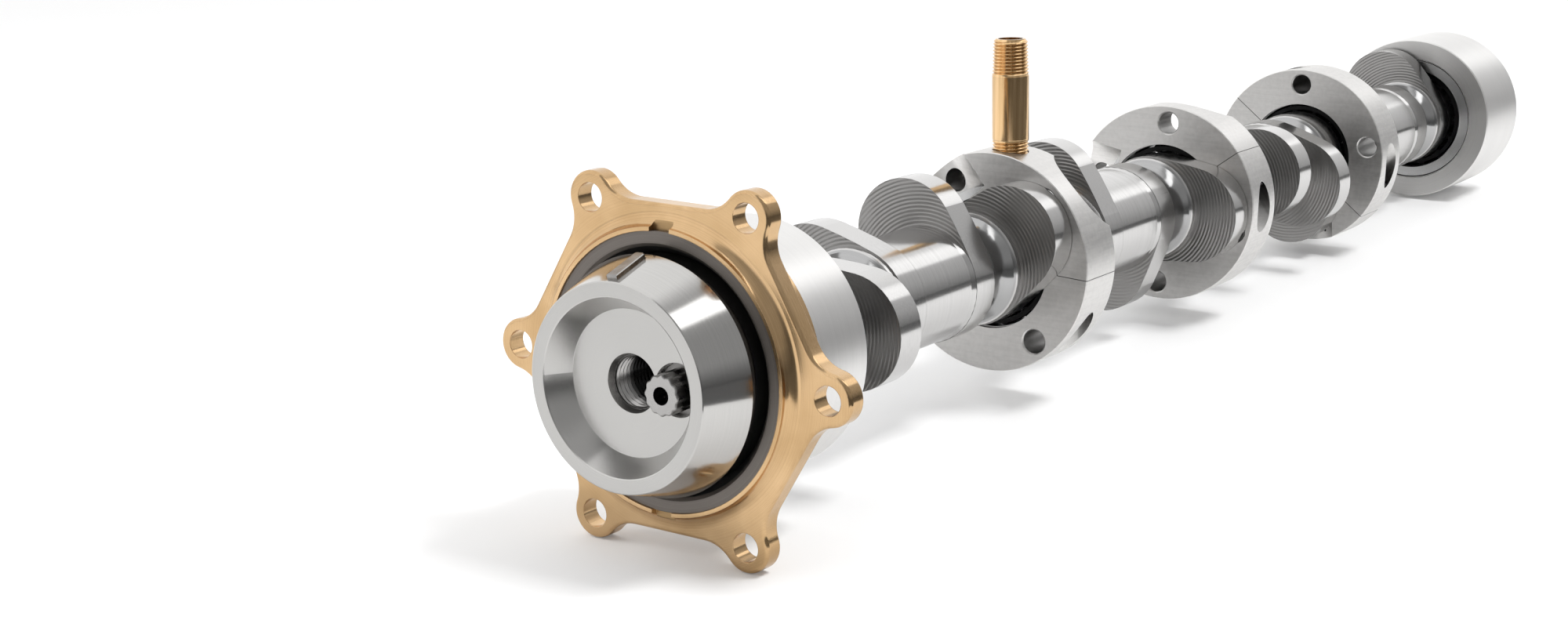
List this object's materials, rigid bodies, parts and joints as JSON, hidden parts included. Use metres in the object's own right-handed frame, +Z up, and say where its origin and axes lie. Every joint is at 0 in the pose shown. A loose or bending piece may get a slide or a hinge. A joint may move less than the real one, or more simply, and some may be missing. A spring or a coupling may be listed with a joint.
{
  "type": "camshaft",
  "caption": "Camshaft carried in split needle bearing carriers and end housings, with a cupped drive adapter, a bronze seal plate and an oil nipple.",
  "frame": {"origin": "on the cam axis in the front face of the seal plate's six ears", "axes": "+X along the cam axis towards the rear, +Z up, out through the top of the first carrier"},
  "size_m": [0.5403, 0.1008, 0.1065],
  "materials": {
    "bronze_plate": "fine turned, satin",
    "seal_case": "dark satin",
    "seal_rubber": "matte",
    "shaft_steel": "oiled, ground and turned",
    "adapter_steel": "turned",
    "key_steel": "ground",
    "bolt_steel": "dark oxide, oiled",
    "housing_aluminium": "fine turned",
    "carrier_aluminium": "machined",
    "race_steel": "ground",
    "needle_steel": "ground, dark cage",
    "screw_steel": "dark oxide",
    "nipple_brass": "dulled"
  },
  "bodies": {
    "plate": {"seal_plate": "bronze_plate", "seal_case": "seal_case", "seal_lip": "seal_rubber"},
    "shaft": {"camshaft": "shaft_steel", "drive_adapter": "adapter_steel", "drive_key": "key_steel", "adapter_bolt": "bolt_steel"},
    "front_bearing": {"front_housing": "housing_aluminium", "front_race": "race_steel"},
    "front_cage": {"front_needles": "needle_steel"},
    "rear_bearing": {"rear_housing": "housing_aluminium", "rear_race": "race_steel"},
    "rear_cage": {"rear_needles": "needle_steel"},
    "carrier_a": {"carrier_a_upper": "carrier_aluminium", "carrier_a_lower": "carrier_aluminium", "clamp_screws_a": "screw_steel", "race_a_upper": "race_steel", "race_a_lower": "race_steel", "oil_nipple": "nipple_brass"},
    "cage_a": {"needles_a": "needle_steel"},
    "carrier_b": {"carrier_b_upper": "carrier_aluminium", "carrier_b_lower": "carrier_aluminium", "clamp_screws_b": "screw_steel", "race_b_upper": "race_steel", "race_b_lower": "race_steel"},
    "cage_b": {"needles_b": "needle_steel"},
    "carrier_c": {"carrier_c_upper": "carrier_aluminium", "carrier_c_lower": "carrier_aluminium", "clamp_screws_c": "screw_steel", "race_c_upper": "race_steel", "race_c_lower": "race_steel"},
    "cage_c": {"needles_c": "needle_steel"}
  },
  "joints": [
    {"name": "cam_spin", "type": "hinge", "parent": "plate", "child": "shaft", "pos_m": [0, 0, 0], "axis": [1, 0, 0], "continuous": true},
    {"name": "front_bearing_turn", "type": "hinge", "parent": "plate", "child": "front_bearing", "pos_m": [0.022, 0, 0], "axis": [1, 0, 0], "continuous": true},
    {"name": "front_cage_roll", "type": "hinge", "parent": "front_bearing", "child": "front_cage", "pos_m": [0.022, 0, 0], "axis": [1, 0, 0], "continuous": true},
    {"name": "carrier_a_turn", "type": "hinge", "parent": "plate", "child": "carrier_a", "pos_m": [0.15621, 0, 0], "axis": [1, 0, 0], "continuous": true},
    {"name": "cage_a_roll", "type": "hinge", "parent": "carrier_a", "child": "cage_a", "pos_m": [0.15621, 0, 0], "axis": [1, 0, 0], "continuous": true},
    {"name": "carrier_b_turn", "type": "hinge", "parent": "plate", "child": "carrier_b", "pos_m": [0.26798, 0, 0], "axis": [1, 0, 0], "continuous": true},
    {"name": "cage_b_roll", "type": "hinge", "parent": "carrier_b", "child": "cage_b", "pos_m": [0.26798, 0, 0], "axis": [1, 0, 0], "continuous": true},
    {"name": "carrier_c_turn", "type": "hinge", "parent": "plate", "child": "carrier_c", "pos_m": [0.37975, 0, 0], "axis": [1, 0, 0], "continuous": true},
    {"name": "cage_c_roll", "type": "hinge", "parent": "carrier_c", "child": "cage_c", "pos_m": [0.37975, 0, 0], "axis": [1, 0, 0], "continuous": true},
    {"name": "rear_bearing_turn", "type": "hinge", "parent": "plate", "child": "rear_bearing", "pos_m": [0.503, 0, 0], "axis": [1, 0, 0], "continuous": true},
    {"name": "rear_cage_roll", "type": "hinge", "parent": "rear_bearing", "child": "rear_cage", "pos_m": [0.503, 0, 0], "axis": [1, 0, 0], "continuous": true}
  ],
  "couplings": [
    {"joint": "front_cage_roll", "follows": "cam_spin", "ratio": 0.4593},
    {"joint": "cage_a_roll", "follows": "cam_spin", "ratio": 0.4601},
    {"joint": "cage_b_roll", "follows": "cam_spin", "ratio": 0.4601},
    {"joint": "cage_c_roll", "follows": "cam_spin", "ratio": 0.4601},
    {"joint": "rear_cage_roll", "follows": "cam_spin", "ratio": 0.4535}
  ]
}
